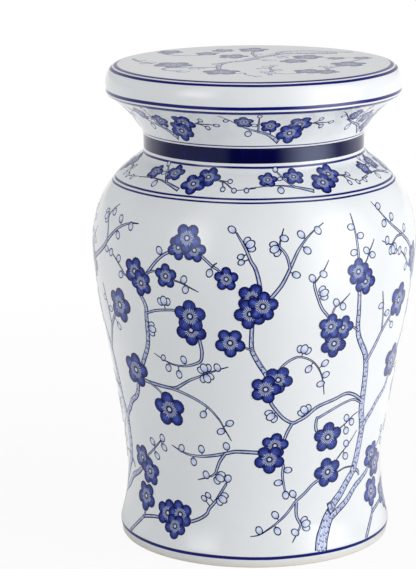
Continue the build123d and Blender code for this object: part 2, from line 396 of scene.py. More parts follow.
class StoolGlazes(bpy.types.PropertyGroup):
    """Colours and gloss of the fired surfaces."""

    white: colour_property("White glaze", "Glaze over the whole outside", from_screen(236, 239, 241))
    white_pooled: colour_property(
        "White glaze, pooled", "Glaze where it lies thick", from_screen(232, 236, 239)
    )
    ring: colour_property("Ring lines", "Lines painted round the wall", from_screen(8, 14, 112))
    band: colour_property("Neck band", "Solid cobalt glaze on the neck", from_screen(4, 4, 60))
    band_thin: colour_property("Neck band, thin", "Cobalt glaze where it runs thin", from_screen(14, 14, 94))
    cobalt_gleam: colour_property("Cobalt gleam", "Tint of what the cobalt mirrors", (0.7, 0.79, 1.0))
    bisque: colour_property("Bare foot", "Unglazed clay at the foot", from_screen(226, 220, 210))
    clay: colour_property("Inside clay", "Unglazed clay inside", from_screen(222, 214, 202))
    roughness: share_property("Glaze roughness", "Roughness of the glaze", 0.08)
    bare_roughness: share_property("Clay roughness", "Roughness of bare clay", 0.62)
    wave: length_property("Glaze waves", "Unevenness of the poured glaze", 0.25 * MM)


class StoolPaints(bpy.types.PropertyGroup):
    """Colours and line width of the painted branches."""

    outline: colour_property("Outline", "Drawn outlines and thin twigs", from_screen(3, 6, 74))
    petal: colour_property("Petal", "Wash that fills a petal", from_screen(15, 22, 104))
    petal_thin: colour_property(
        "Petal, thin", "Middle of a petal, where the wash is thin", from_screen(80, 101, 190)
    )
    stamen: colour_property("Stamen", "Pale rays round a blossom's eye", from_screen(205, 214, 236))
    bough: colour_property("Bough", "Wash that fills a branch", from_screen(136, 152, 208))
    bough_pale: colour_property("Bough, pale", "Branch where the wash is thin", from_screen(206, 215, 240))
    bud: colour_property("Bud", "Wash that fills a bud", from_screen(218, 227, 245))
    bud_deep: colour_property("Bud, deep", "Wash at the foot of a bud", from_screen(158, 175, 224))
    line_width: length_property("Line width", "Width of a drawn outline", 1.25 * MM)


class StoolTurning(bpy.types.PropertyGroup):
    """How finely the sections are turned."""

    segments: bpy.props.IntProperty(
        name="Segments", description="Flats round each turned section", min=24, default=256
    )
    sharp_angle: angle_property("Sharp angle", "Edges over this angle stay sharp", 30)


class StoolStudio(bpy.types.PropertyGroup):
    """Lamps and camera of the studio."""

    key_power: bpy.props.FloatProperty(
        name="Key lamp", description="Softbox on the right", unit="POWER", default=20.0
    )
    walls: bpy.props.FloatProperty(
        name="Walls", description="Even light from the studio's walls", min=0.0, default=0.74
    )
    lens: bpy.props.FloatProperty(
        name="Lens", description="Focal length of the camera", unit="CAMERA", default=156.2
    )
    camera_distance: length_property("Camera distance", "From the stool's axis", 2.2874)
    camera_height: length_property("Camera height", "Above the floor", 0.7605)
    camera_pitch: angle_property("Camera pitch", "How far the camera looks down", 12.841)
    camera_yaw: angle_property("Camera yaw", "How far the camera looks left", 1.094)
    camera_roll: angle_property("Camera roll", "Turn about the line of sight", -0.361)


# The turned outline


def heading(station):
    """Unit vector up along the outside at a station, as radius and height."""
    angle = radians(station.direction)
    return Vector((cos(angle), sin(angle)))


def into_wall(station):
    """Unit vector from the outside into the clay."""
    angle = radians(station.direction)
    return Vector((-sin(angle), cos(angle)))


def outer_point(station):
    return Vector((station.radius, station.height))


def inner_point(station, lap=0.0):
    """The point of the inside face at a station, lowered along the wall by a seam's lap."""
    return outer_point(station) + into_wall(station) * WALL - heading(station) * lap


def bend(lower, upper, start, end, steps):
    """Points of the curve between two stations, closest together at its ends."""
    chord = (end - start).length
    leave = start + heading(lower) * (lower.pull_above * chord)
    arrive = end - heading(upper) * (upper.pull_below * chord)
    points = []
    for step in range(steps + 1):
        t = (1 - cos(pi * step / steps)) / 2
        s = 1 - t
        points.append(start * s**3 + leave * (3 * s * s * t) + arrive * (3 * s * t * t) + end * t**3)
    return points


def join_runs(runs):
    """One list of points from runs that each start where the last one ends."""
    points = list(runs[0])
    for run in runs[1:]:
        points.extend(run[1:])
    return points


def outside_points(names):
    """The outside through a list of stations."""
    run = [STATIONS[name] for name in names]
    return join_runs([
        bend(lower, upper, outer_point(lower), outer_point(upper), OUTSIDE_STEPS)
        for lower, upper in zip(run, run[1:])
    ])


def inside_points(names):
    """The inside face along a list of stations with a seam at each end."""
    run = [STATIONS[name] for name in names]
    ends = [inner_point(station) for station in run]
    ends[0] = inner_point(run[0], SEAM_LAP)
    ends[-1] = inner_point(run[-1], SEAM_LAP)
    return join_runs([
        bend(lower, upper, start, end, INSIDE_STEPS)
        for lower, upper, start, end in zip(run, run[1:], ends, ends[1:])
    ])


def seam_points(name):
    """The two middle corners of a stepped seam, from the outside in."""
    station = STATIONS[name]
    middle = outer_point(station) + into_wall(station) * (WALL / 2)
    return [middle, middle - heading(station) * SEAM_LAP]


def seat_step_points():
    """The stepped edge between seat and rim, from the top down."""
    edge = STATIONS["seat_edge"]
    ledge = edge.radius - SEAT_LEDGE
    return [
        Vector((edge.radius, edge.height)),
        Vector((edge.radius, edge.height - SEAT_STEP)),
        Vector((ledge, edge.height - SEAT_STEP)),
        Vector((ledge, edge.height - SEAT_THICKNESS)),
    ]


def shell_section(names):
    """Glazed and hidden points of a clay wall between two seams, as one closed loop."""
    hidden = seam_points(names[-1]) + inside_points(names)[::-1] + seam_points(names[0])[::-1]
    return outside_points(names), hidden


def rim_section():
    hidden = seat_step_points()[1:] + [inner_point(STATIONS["flare"], SEAM_LAP)] + seam_points("flare")[::-1]
    return outside_points(RIM_STATIONS), hidden


def foot_section():
    foot = STATIONS["foot"]
    base = foot.radius - FOOT_TAPER
    edge_centre = Vector((base - FOOT_EDGE_ROUND, FOOT_EDGE_ROUND))
    edge = []
    for step in range(FOOT_EDGE_STEPS + 1):
        angle = pi / 2 * step / FOOT_EDGE_STEPS
        edge.append(edge_centre + Vector((sin(angle), -cos(angle))) * FOOT_EDGE_ROUND)
    even = foot._replace(pull_above=foot.pull_below)
    side = bend(even, foot, edge[-1], outer_point(foot), INSIDE_STEPS)
    seam_inside = inner_point(foot, SEAM_LAP)
    land_inside = base - FOOT_LAND
    hidden = seam_points("foot") + [
        seam_inside,
        Vector((land_inside, seam_inside.y)),
        Vector((land_inside, 0)),
    ]
    return edge + side[1:], hidden


def seat_section():
    step = seat_step_points()
    top = [Vector((step[0].x * ring / SEAT_RINGS, step[0].y)) for ring in range(SEAT_RINGS + 1)]
    return top[::-1], [Vector((0, step[-1].y))] + step[:0:-1]


def sections():
    """Every clay section by node name."""
    made = {name: shell_section(stations) for name, stations in SHELLS.items()}
    made["foot_ring"] = foot_section()
    made["seat_rim"] = rim_section()
    made["seat_slab"] = seat_section()
    return made


OUTLINE = [point * MM for point in outside_points(list(STATIONS))]
OUTLINE_RUNS = np.cumsum([0.0] + [(after - before).length for before, after in zip(OUTLINE, OUTLINE[1:])])
OUTLINE_RADII = [point.x for point in OUTLINE]
OUTLINE_HEIGHTS = [point.y for point in OUTLINE]


def run_at(height):
    """Length along the outline from the foot up to a height."""
    return float(np.interp(height, OUTLINE_HEIGHTS, OUTLINE_RUNS))


def radius_at(run):
    """Radius of the outline at a length along it."""
    return float(np.interp(run, OUTLINE_RUNS, OUTLINE_RADII))


# Laying out the painting: flat places in metres, X round the wall and Y along the outline

Bough = namedtuple("Bough", "points half_widths lift")
Motif = namedtuple("Motif", "place spread size turn tone layer")


def wall_place(degrees_round, height):
    return Vector((radians(degrees_round) * LAY_RADIUS, run_at(height * MM)))


def seat_place(right, back):
    return Vector((right * MM, back * MM))


def wall_spread(place):
    """How much wider a flat shape is drawn so that it keeps its width on the wall."""
    return LAY_RADIUS / radius_at(place.y)


def seat_spread(place):
    return 1.0


Ground = namedtuple("Ground", "place spread")
WALL_GROUND = Ground(wall_place, wall_spread)
SEAT_GROUND = Ground(seat_place, seat_spread)


def lay_branch(ground, branch, turn):
    """The flat path of one branch and its half width at each point."""
    root, tip, path = branch
    points = [ground.place(first + turn, second) for first, second in path]
    half_widths = []
    for index, point in enumerate(points):
        share = index / (len(points) - 1)
        before = points[max(index - 1, 0)]
        after = points[min(index + 1, len(points) - 1)]
        direction = (after - before).normalized()
        across = hypot(direction.y * ground.spread(point), direction.x)
        half_widths.append((root + (tip - root) * share**TAPER) / 2 * MM * across)
    return points, half_widths


def nearest_on(paths, place):
    """The point of a list of paths that is nearest to a place."""
    nearest = None
    for path in paths:
        for start, end in zip(path, path[1:]):
            span = end - start
            share = max(0.0, min(1.0, (place - start).dot(span) / span.length_squared))
            point = start + span * share
            if nearest is None or (point - place).length < (nearest - place).length:
                nearest = point
    return nearest


def trail_of(points):
    """Closely spaced points along a path."""
    runs = np.cumsum([0.0] + [(after - before).length for before, after in zip(points, points[1:])])
    steps = np.arange(0.0, runs[-1], TRAIL_STEP * MM)
    return np.stack([np.interp(steps, runs, [point[axis] for point in points]) for axis in (0, 1)], axis=1)


def gap_between(trail, other):
    """Shortest distance between two trails."""
    return np.min(np.linalg.norm(trail[:, None] - other[None], axis=2))


def layer_over(under):
    """The layer of a shape that is painted over the layers under it."""
    return max(under, default=-1) + 1


def coat_lift(coat, layer):
    return (coat.lift + coat.step * layer) * MM


class Painting:
    """All boughs, blossoms and buds on one ground."""

    def __init__(self, ground):
        self.ground = ground
        self.boughs = []
        self.blossoms = []
        self.buds = []

    def lay(self, branches, blossoms, buds, clusters=(), turn=0):
        """Adds one spray, turned round the wall by some degrees."""
        paths = self.add_boughs(branches, turn)
        for first, second, radius, petal_turn in blossoms:
            place = self.ground.place(first + turn, second)
            self.add_motif(self.blossoms, BLOSSOM_COAT, place, radius, radians(-petal_turn))
        for radius, places in buds.items():
            for first, second in places:
                place = self.ground.place(first + turn, second)
                away = self.add_stalk(paths, place)
                self.add_motif(self.buds, BUD_COAT, place, radius, atan2(-away.x, away.y))
        for first, second in clusters:
            self.add_cluster(paths, self.ground.place(first + turn, second))

    def add_boughs(self, branches, turn):
        """Adds the branches of a spray, each over the ones that it meets, and returns their paths."""
        paths = []
        drawn = []
        for branch in branches:
            points, half_widths = lay_branch(self.ground, branch, turn)
            trail = trail_of(points)
            reach = max(half_widths)
            layer = layer_over([
                other_layer for other, other_reach, other_layer in drawn
                if gap_between(trail, other) < reach + other_reach
            ])
            drawn.append((trail, reach, layer))
            paths.append(points)
            self.boughs.append(Bough(points, half_widths, coat_lift(BOUGH_COAT, layer)))
        return paths

    def add_motif(self, motifs, coat, place, radius, turn):
        """Adds a blossom or a bud, over the ones that it overlaps."""
        size = radius * MM
        layer = layer_over([
            motif.layer for motif in motifs if (motif.place.xy - place).length < motif.size + size
        ])
        raised = Vector((place.x, place.y, coat_lift(coat, layer)))
        tone = len(motifs) * TONE_STEP % 1
        motifs.append(Motif(raised, self.ground.spread(place), size, turn, tone, layer))

    def add_stalk(self, paths, place):
        """A short stalk from the nearest twig, and the direction in which it grows."""
        twig = nearest_on(paths, place)
        away = place - twig
        if STALK_WIDTH * MM < away.length < STALK_REACH * MM:
            half_width = STALK_WIDTH / 2 * MM
            self.boughs.append(Bough([twig, place], [half_width, half_width], STALK_LIFT * MM))
        return away.normalized()

    def add_cluster(self, paths, place):
        """Three buds on one stalk, the middle one over the other two."""
        away = self.add_stalk(paths, place)
        turn = atan2(-away.x, away.y)
        across = Vector((away.y * self.ground.spread(place), -away.x))
        for side in (-1, 1):
            beside = place + (across * (side * CLUSTER_ASIDE) - away * CLUSTER_BACK) * MM
            self.add_motif(self.buds, BUD_COAT, beside, CLUSTER_SIDE_BUD, turn - side * CLUSTER_FAN)
        self.add_motif(self.buds, BUD_COAT, place, CLUSTER_BUD, turn)


def paint_wall():
    painting = Painting(WALL_GROUND)
    for turn in PANEL_TURNS:
        painting.lay(PANEL_BRANCHES, PANEL_BLOSSOMS, PANEL_BUDS, PANEL_CLUSTERS, turn)
    for turn in LEFT_SPRIG_TURNS:
        painting.lay(LEFT_SPRIG_BRANCHES, (), LEFT_SPRIG_BUDS, LEFT_SPRIG_CLUSTERS, turn)
    for turn in RIGHT_SPRIG_TURNS:
        painting.lay(RIGHT_SPRIG_BRANCHES, (), RIGHT_SPRIG_BUDS, RIGHT_SPRIG_CLUSTERS, turn)
    for turn in SHOULDER_TURNS:
        painting.lay(SHOULDER_BRANCHES, SHOULDER_BLOSSOMS, SHOULDER_BUDS, turn=turn)
    for copy in range(COLLAR_COPIES):
        painting.lay(COLLAR_BRANCHES, COLLAR_BLOSSOMS, COLLAR_BUDS, turn=360 * copy / COLLAR_COPIES)
    return painting


def paint_seat():
    painting = Painting(SEAT_GROUND)
    painting.lay(SEAT_BRANCHES, SEAT_BLOSSOMS, SEAT_BUDS)
    return painting


# Node trees


# Sockets of the Mix node that are only told apart by number
COLOUR_A = 6
COLOUR_B = 7
COLOUR_RESULT = 2


class NodeDesk:
    """Adds nodes to one tree and joins them."""

    def __init__(self, tree):
        self.tree = tree

    def feed(self, socket, value):
        """Links a socket to an output, or sets its value."""
        if isinstance(value, bpy.types.NodeSocket):
            self.tree.links.new(value, socket)
        else:
            socket.default_value = value

    def add(self, kind, inputs=None, **settings):
        node = self.tree.nodes.new(kind)
        for name, value in settings.items():
            setattr(node, name, value)
        for key, value in (inputs or {}).items():
            self.feed(node.inputs[key], value)
        return node

    def geometry(self, kind, inputs, output="Geometry", **settings):
        """Adds a node and returns the geometry that it gives."""
        return self.add("GeometryNode" + kind, inputs, **settings).outputs[output]

    def math(self, operation, first, second=0.0):
        return self.add("ShaderNodeMath", {0: first, 1: second}, operation=operation).outputs[0]

    def plus(self, first, second):
        return self.math("ADD", first, second)

    def minus(self, first, second):
        return self.math("SUBTRACT", first, second)

    def times(self, first, second):
        return self.math("MULTIPLY", first, second)

    def over(self, first, second):
        return self.math("DIVIDE", first, second)

    def most(self, first, second):
        return self.math("MAXIMUM", first, second)

    def magnitude(self, value):
        return self.math("ABSOLUTE", value)

    def length(self, x, y):
        """Length of a flat vector."""
        return self.math("SQRT", self.plus(self.times(x, x), self.times(y, y)))

    def separate(self, vector):
        return self.add("ShaderNodeSeparateXYZ", {0: vector}).outputs

    def combine(self, x, y, z):
        return self.add("ShaderNodeCombineXYZ", {0: x, 1: y, 2: z}).outputs[0]

    def ramp(self, value, low, high, at_low=0.0, at_high=1.0):
        """A smooth step from one value to another."""
        inputs = {"Value": value, "From Min": low, "From Max": high, "To Min": at_low, "To Max": at_high}
        return self.add("ShaderNodeMapRange", inputs, interpolation_type="SMOOTHSTEP").outputs[0]

    def fade(self, value, low, high):
        """A smooth step from 1 down to 0."""
        return self.ramp(value, low, high, 1.0, 0.0)

    def mix(self, share, first, second):
        """A blend of two colours."""
        inputs = {"Factor": share, COLOUR_A: first, COLOUR_B: second}
        return self.add("ShaderNodeMix", inputs, data_type="RGBA").outputs[COLOUR_RESULT]


def new_geometry_tree(name, inputs):
    """A geometry tree with named inputs, its desk and what the inputs give."""
    tree = bpy.data.node_groups.new(name, "GeometryNodeTree")
    tree.interface.new_socket("Geometry", in_out="OUTPUT", socket_type="NodeSocketGeometry")
    tree.interface.new_socket("Geometry", in_out="INPUT", socket_type="NodeSocketGeometry")
    for socket_name, socket_type in inputs:
        tree.interface.new_socket(socket_name, in_out="INPUT", socket_type="NodeSocket" + socket_type)
    desk = NodeDesk(tree)
    return tree, desk, desk.add("NodeGroupInput").outputs


def end_tree(desk, geometry, material):
    """Realizes what is left of instances and gives the mesh its finish."""
    realized = desk.geometry("RealizeInstances", {"Geometry": geometry})
    finished = desk.geometry("SetMaterial", {"Geometry": realized, "Material": material})
    desk.add("NodeGroupOutput", {"Geometry": finished})


def named(desk, name, data_type="FLOAT"):
    """A named attribute of the geometry."""
    return desk.geometry("InputNamedAttribute", {"Name": name}, "Attribute", data_type=data_type)


def position(desk):
    """The three parts of a point's place."""
    return desk.separate(desk.geometry("InputPosition", {}, "Position"))


def turned_tree():
    """Turns a closed section, drawn beside a circle, about the stool's axis."""
    tree, desk, given = new_geometry_tree("turned_section", (
        ("Segments", "Int"),
        ("Turning Radius", "Float"),
        ("Sharp Angle", "Float"),
        ("Weld", "Float"),
        ("Material", "Material"),
    ))
    section = desk.geometry("MeshToCurve", {"Mesh": given["Geometry"]}, "Curve")
    round_trip = {"Resolution": given["Segments"], "Radius": given["Turning Radius"]}
    circle = desk.geometry("CurvePrimitiveCircle", round_trip, "Curve")
    upright = desk.geometry("SetCurveNormal", {"Curve": circle}, "Curve", mode="Z_UP")
    swept = desk.geometry("CurveToMesh", {"Curve": upright, "Profile Curve": section}, "Mesh")
    welded = desk.geometry("MergeByDistance", {"Geometry": swept, "Distance": given["Weld"]})
    facing = desk.geometry("FlipFaces", {"Mesh": welded}, "Mesh")
    smooth = desk.geometry("SetShadeSmooth", {"Geometry": facing}, domain="FACE")
    angle = desk.geometry("InputMeshEdgeAngle", {}, "Unsigned Angle")
    soft = desk.math("LESS_THAN", angle, given["Sharp Angle"])
    edges = desk.geometry("SetShadeSmooth", {"Geometry": smooth, "Shade Smooth": soft}, domain="EDGE")
    end_tree(desk, edges, given["Material"])
    return tree


LAYING_INPUTS = (
    ("Outline", "Object"),
    ("Lay Radius", "Float"),
    ("Seat Height", "Float"),
    ("On Wall", "Bool"),
    ("Material", "Material"),
)


def lay_on_ground(desk, given, geometry):
    """Lays flat paint on the wall, or on the seat: X goes round, Y up the outline, Z off the glaze."""
    x, y, z = position(desk)
    outline = desk.geometry("ObjectInfo", {"Object": given["Outline"]})
    sample = desk.add("GeometryNodeSampleCurve", {"Curves": outline, "Length": y}, mode="LENGTH").outputs
    place = desk.separate(sample["Position"])
    slope = desk.separate(sample["Tangent"])
    radius = desk.plus(place[0], desk.times(slope[2], z))
    height = desk.minus(place[2], desk.times(slope[0], z))
    angle = desk.over(x, given["Lay Radius"])
    to_right = desk.times(radius, desk.math("SINE", angle))
    to_front = desk.times(radius, desk.math("COSINE", angle))
    on_wall = desk.combine(to_right, desk.times(to_front, -1.0), height)
    on_seat = desk.combine(x, y, desk.plus(z, given["Seat Height"]))
    choice = {"Switch": given["On Wall"], "False": on_seat, "True": on_wall}
    laid = desk.geometry("Switch", choice, "Output", input_type="VECTOR")
    return desk.geometry("SetPosition", {"Geometry": geometry, "Position": laid})


def motif_tree():
    """Sets one painted motif on many places and lays them on the ground."""
    tree, desk, given = new_geometry_tree("laid_motifs", (("Motif", "Object"), *LAYING_INPUTS))
    motif = desk.geometry("ObjectInfo", {"Object": given["Motif"], "As Instance": True})
    size = named(desk, "size")
    turn = desk.combine(0.0, 0.0, named(desk, "turn"))
    settings = {
        "Points": given["Geometry"],
        "Instance": motif,
        "Rotation": desk.add("FunctionNodeEulerToRotation", {0: turn}).outputs[0],
        "Scale": desk.combine(size, size, 1.0),
    }
    instances = desk.geometry("InstanceOnPoints", settings, "Instances")
    realized = desk.geometry("RealizeInstances", {"Geometry": instances})
    x, y, z = position(desk)
    spread = desk.times(x, named(desk, "spread"))
    place = desk.separate(named(desk, "place", "FLOAT_VECTOR"))
    # Only the painted face takes the lift; the base stays sunk under the glaze.
    proud = desk.times(desk.math("GREATER_THAN", z, 0.0), place[2])
    raised = desk.plus(desk.math("MINIMUM", z, 0.0), proud)
    flat = desk.combine(desk.plus(spread, place[0]), desk.plus(y, place[1]), raised)
    placed = desk.geometry("SetPosition", {"Geometry": realized, "Position": flat})
    end_tree(desk, lay_on_ground(desk, given, placed), given["Material"])
    return tree


def bough_tree():
    """Draws a flat ribbon along each path and lays it on the ground."""
    tree, desk, given = new_geometry_tree("laid_boughs", (
        ("Stroke", "Object"), ("Steps", "Int"), ("Sink", "Float"), *LAYING_INPUTS,
    ))
    paths = desk.geometry("MeshToCurve", {"Mesh": given["Geometry"]}, "Curve")
    rounded = desk.geometry("CurveSplineType", {"Curve": paths}, "Curve", spline_type="CATMULL_ROM")
    stepped = desk.geometry("SetSplineResolution", {"Geometry": rounded, "Resolution": given["Steps"]})
    curve = desk.geometry("ResampleCurve", {"Curve": stepped}, "Curve", mode="EVALUATED")
    along = desk.geometry("SplineParameter", {}, "Length")
    to_tip = desk.minus(desk.geometry("SplineLength", {}, "Length"), along)
    for name, value in (("along", along), ("to_tip", to_tip)):
        curve = desk.geometry("StoreNamedAttribute", {"Geometry": curve, "Name": name, "Value": value})
    upright = desk.geometry("SetCurveNormal", {"Curve": curve}, "Curve", mode="Z_UP")
    stroke = desk.geometry("ObjectInfo", {"Object": given["Stroke"]})
    settings = {
        "Curve": upright,
        "Profile Curve": desk.geometry("MeshToCurve", {"Mesh": stroke}, "Curve"),
        "Scale": named(desk, "half_width"),
        "Fill Caps": True,
    }
    ribbon = desk.geometry("CurveToMesh", settings, "Mesh")
    x, y, _ = position(desk)
    face = named(desk, "face")
    proud = desk.times(face, named(desk, "lift"))
    sunk = desk.times(desk.minus(1.0, face), given["Sink"])
    flat = desk.combine(x, y, desk.minus(proud, sunk))
    placed = desk.geometry("SetPosition", {"Geometry": ribbon, "Position": flat})
    end_tree(desk, lay_on_ground(desk, given, placed), given["Material"])
    return tree


# Meshes that the trees start from


def link_object(name, data):
    made = bpy.data.objects.new(name, data)
    bpy.context.scene.collection.objects.link(made)
    return made


def link_mesh(name, points, edges=(), faces=()):
    mesh = bpy.data.meshes.new(name)
    mesh.from_pydata(points, edges, faces)
    return link_object(name, mesh)


def store(made, name, values):
    """Stores one number, or one vector, for each point of a mesh."""
    vectors = isinstance(values[0], Vector)
    attribute = made.data.attributes.new(name, "FLOAT_VECTOR" if vectors else "FLOAT", "POINT")
    if vectors:
        attribute.data.foreach_set("vector", [part for value in values for part in value])
    else:
        attribute.data.foreach_set("value", values)


def ring_edges(count):
    return [(index, (index + 1) % count) for index in range(count)]


def make_outline():
    """The outside as a line from the foot to the seat."""
    curve = bpy.data.curves.new("outline", "CURVE")
    curve.dimensions = "3D"
    spline = curve.splines.new("POLY")
    spline.points.add(len(OUTLINE) - 1)
    for control, point in zip(spline.points, OUTLINE):
        control.co = (point.x, 0.0, point.y, 1.0)
    return link_object("outline", curve)


def make_stroke():
    """The flat section of a brush stroke, with how far each point is from its middle."""
    count = len(STROKE_POINTS)
    across = [*STROKE_POINTS, *reversed(STROKE_POINTS)]
    points = [Vector((value, 0, 0)) for value in across]
    made = link_mesh("stroke", points, ring_edges(len(points)))
    store(made, "across", across)
    store(made, "face", [1.0] * count + [0.0] * count)
    return made


def make_disc(name, rim, rings):
    """A thin closed motif of unit size from the points of its rim, in rings round its middle."""
    count = len(rim)
    top = 1.0
    base = -PAINT_SINK * MM
    points = [Vector((0, 0, top))]
    shares = [0.0]
    for ring in range(1, rings + 1):
        share = ring / rings
        points += [Vector((x * share, y * share, top)) for x, y in rim]
        shares += [share] * count
    points += [Vector((x, y, base)) for x, y in rim]
    shares += [BASE_SHARE] * count
    faces = [tuple(range(len(points) - 1, len(points) - 1 - count, -1))]
    for start, end in ring_edges(count):
        faces.append((0, 1 + start, 1 + end))
        for ring in range(rings):
            inner = 1 + ring * count
            outer = inner + count
            faces.append((inner + start, outer + start, outer + end, inner + end))
    made = link_mesh(name, points, faces=faces)
    store(made, "bloom", [Vector((point.x, point.y, share)) for point, share in zip(points, shares)])
    return made


def make_blossom():
    """Five round petals, one of them upright."""
    rim = []
    for index in range(PETALS * PETAL_POINTS):
        angle = 2 * pi * index / (PETALS * PETAL_POINTS)
        aside = (angle + pi / PETALS) % (2 * pi / PETALS) - pi / PETALS
        reach = PETAL_REACH * cos(aside) + sqrt(PETAL_ROUND**2 - (PETAL_REACH * sin(aside)) ** 2)
        rim.append((-reach * sin(angle), reach * cos(angle)))
    return make_disc("blossom", rim, BLOSSOM_RINGS)


def make_bud():
    """An upright oval."""
    rim = []
    for index in range(BUD_POINTS):
        angle = 2 * pi * index / BUD_POINTS
        rim.append((-BUD_SLIM * sin(angle), cos(angle)))
    return make_disc("bud", rim, BUD_RINGS)


def make_places(name, motifs):
    """One point for each motif, with what the tree needs to know about it."""
    made = link_mesh(name, [Vector((0, 0, 0)) for motif in motifs])
    store(made, "place", [motif.place for motif in motifs])
    for field in ("spread", "size", "turn", "tone"):
        store(made, field, [getattr(motif, field) for motif in motifs])
    return made


def make_paths(name, boughs):
    """All paths as lines of points, with their widths and lifts."""
    points = []
    edges = []
    half_widths = []
    lifts = []
    for bough in boughs:
        first = len(points)
        points.extend(Vector((point.x, point.y, 0)) for point in bough.points)
        edges.extend((index, index + 1) for index in range(first, len(points) - 1))
        half_widths.extend(bough.half_widths)
        lifts.extend([bough.lift] * len(bough.points))
    made = link_mesh(name, points, edges)
    store(made, "half_width", half_widths)
    store(made, "lift", lifts)
    return made


def settle(made, tree, inputs, material):
    """Runs a tree on an object and keeps the result as its plain mesh."""
    modifier = made.modifiers.new(tree.name, "NODES")
    modifier.node_group = tree
    values = {**inputs, "Material": material}
    for item in tree.interface.items_tree:
        if item.in_out == "INPUT" and item.name in values:
            modifier[item.identifier] = values[item.name]
    graph = bpy.context.evaluated_depsgraph_get()
    evaluated = made.evaluated_get(graph)
    mesh = bpy.data.meshes.new_from_object(evaluated, preserve_all_data_layers=True, depsgraph=graph)
    made.modifiers.remove(modifier)
    made.data = mesh
    mesh.name = made.name


def laying_values(outline, on_wall):
    return {
        "Outline": outline,
        "Lay Radius": LAY_RADIUS,
        "Seat Height": STATIONS["seat_edge"].height * MM,
        "On Wall": on_wall,
    }


def seat_piece(made):
    """Attaches a finished piece to the stool's body."""
    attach(made, BODY)


def lay_paint(kind, make_start, tree, inputs, material):
    """Lays one kind of paint on the wall and on the seat."""
    outline = make_outline()
    for name, painting, on_wall in (("wall", paint_wall(), True), ("seat", paint_seat(), False)):
        made = make_start(f"painted_{kind}_{name}", getattr(painting, kind))
        settle(made, tree, {**inputs, **laying_values(outline, on_wall)}, material)
        seat_piece(made)
    bpy.data.objects.remove(outline)


def lay_motifs(kind, motif, material):
    """Lays one motif on all of its places."""
    motif.data.materials.append(material)
    lay_paint(kind, make_places, motif_tree(), {"Motif": motif}, material)
    bpy.data.objects.remove(motif)


# Finishes

# Grain in cells per metre, and the spans of a noise that are blended
WAVE_GRAIN = 26.0
GLOSS_GRAIN = 40.0
SWAY_GRAIN = 14.0
POOL_GRAIN = 9.0
STREAK_GRAIN = 60.0
CLAY_GRAIN = 220.0
CLAY_WAVE_GRAIN = 90.0
NOISE_MIDDLE = 0.5
NOISE_SPAN = (0.3, 0.7)
STREAK_SPAN = (0.5, 0.85)
CLAY_SPAN = (0.2, 0.8)
STREAK_STRETCH = (1.0, 1.0, 0.25)
GLOSS_CHANGE = 0.3

# Painted rings and the glaze's lower edge, in metres
RING_SWAY = 1.2 * MM
RING_SOFT = 0.25 * MM
RUN_OUT = (1.0 * MM, 7.0 * MM)
RUN_OUT_SWAY = 2.0
GLAZED_SPAN = (0.9, 1.0)

# Drawing of a blossom, in shares of its radius
PETAL_MIDDLE = (0.05, 0.36)
PETAL_CREASE = (0.03, 0.11)
EYE = (0.19, 0.24)
PUPIL = (0.09, 0.13)
RAY_ENDS = (0.38, 0.52)
RAY_EDGE = 0.03
STAMENS = 22
RAY_SPAN = (-0.4, 0.6)
RAY_STRENGTH = 0.85
RAY_GRAIN = 3.0
RAY_SWEEP = 3.0
PETAL_GRAIN = 2.0
PETAL_STREAKS = 5.0
PETAL_STREAK_SPAN = (0.25, 0.65)
TONE_SHIFT = 40.0
PALE_TONES = (0.5, 1.0)
PALE_WASH = 0.25

# Drawing of a bud, from its foot up, and of a line, in shares of its width
BUD_FOOT = (-0.9, 0.2)
LINE_EDGE = (0.85, 1.12)

# Bark: cells and brush marks in metres across and along, ticks in shares of a cell
BARK_CELL = (4.2 * MM, 4.8 * MM)
BARK_RANDOM = 0.7
TICK_RADIUS = 0.28
TICK_WIDTH = (0.08, 0.13)
TICK_CUT = (-0.1, 0.1)
TICKED_BOUGHS = (1.8 * MM, 2.8 * MM)
BRUSH_MARK = (1.1 * MM, 11.0 * MM)
BRUSH_SPAN = (0.35, 0.6)


def new_material(name):
    """A material, its desk and its surface shader."""
    material = bpy.data.materials.new(name)
    material.use_nodes = True
    tree = material.node_tree
    shader = tree.nodes["Principled BSDF"]
    return material, NodeDesk(tree), shader


def rgba(colour):
    return (*colour, 1.0)


def object_place(desk):
    """A point's place on the object."""
    return desk.add("ShaderNodeTexCoord").outputs["Object"]


def attribute(desk, name, output="Fac"):
    return desk.add("ShaderNodeAttribute", attribute_name=name).outputs[output]


def noise(desk, vector, scale, detail=2.0):
    return desk.add("ShaderNodeTexNoise", {"Vector": vector, "Scale": scale, "Detail": detail}).outputs["Fac"]


def ring_line(desk, value, low, high):
    """1 between two values, with soft edges."""
    inside = desk.ramp(value, low * MM - RING_SOFT, low * MM + RING_SOFT)
    outside = desk.ramp(value, high * MM - RING_SOFT, high * MM + RING_SOFT)
    return desk.minus(inside, outside)


def fired_gloss(desk, shader, vector, glazes, dry=None):
    """The gloss of a poured glaze: slightly wavy, and rougher where the clay is dry."""
    change = glazes.roughness * GLOSS_CHANGE
    levels = (glazes.roughness - change, glazes.roughness + change)
    patches = desk.ramp(noise(desk, vector, GLOSS_GRAIN), *NOISE_SPAN, *levels)
    if dry is not None:
        patches = desk.most(patches, desk.times(dry, glazes.bare_roughness))
    desk.feed(shader.inputs["Roughness"], patches)
    waves = noise(desk, vector, WAVE_GRAIN)
    bump = desk.add("ShaderNodeBump", {"Strength": 1.0, "Distance": glazes.wave, "Height": waves})
    desk.feed(shader.inputs["Normal"], bump.outputs["Normal"])


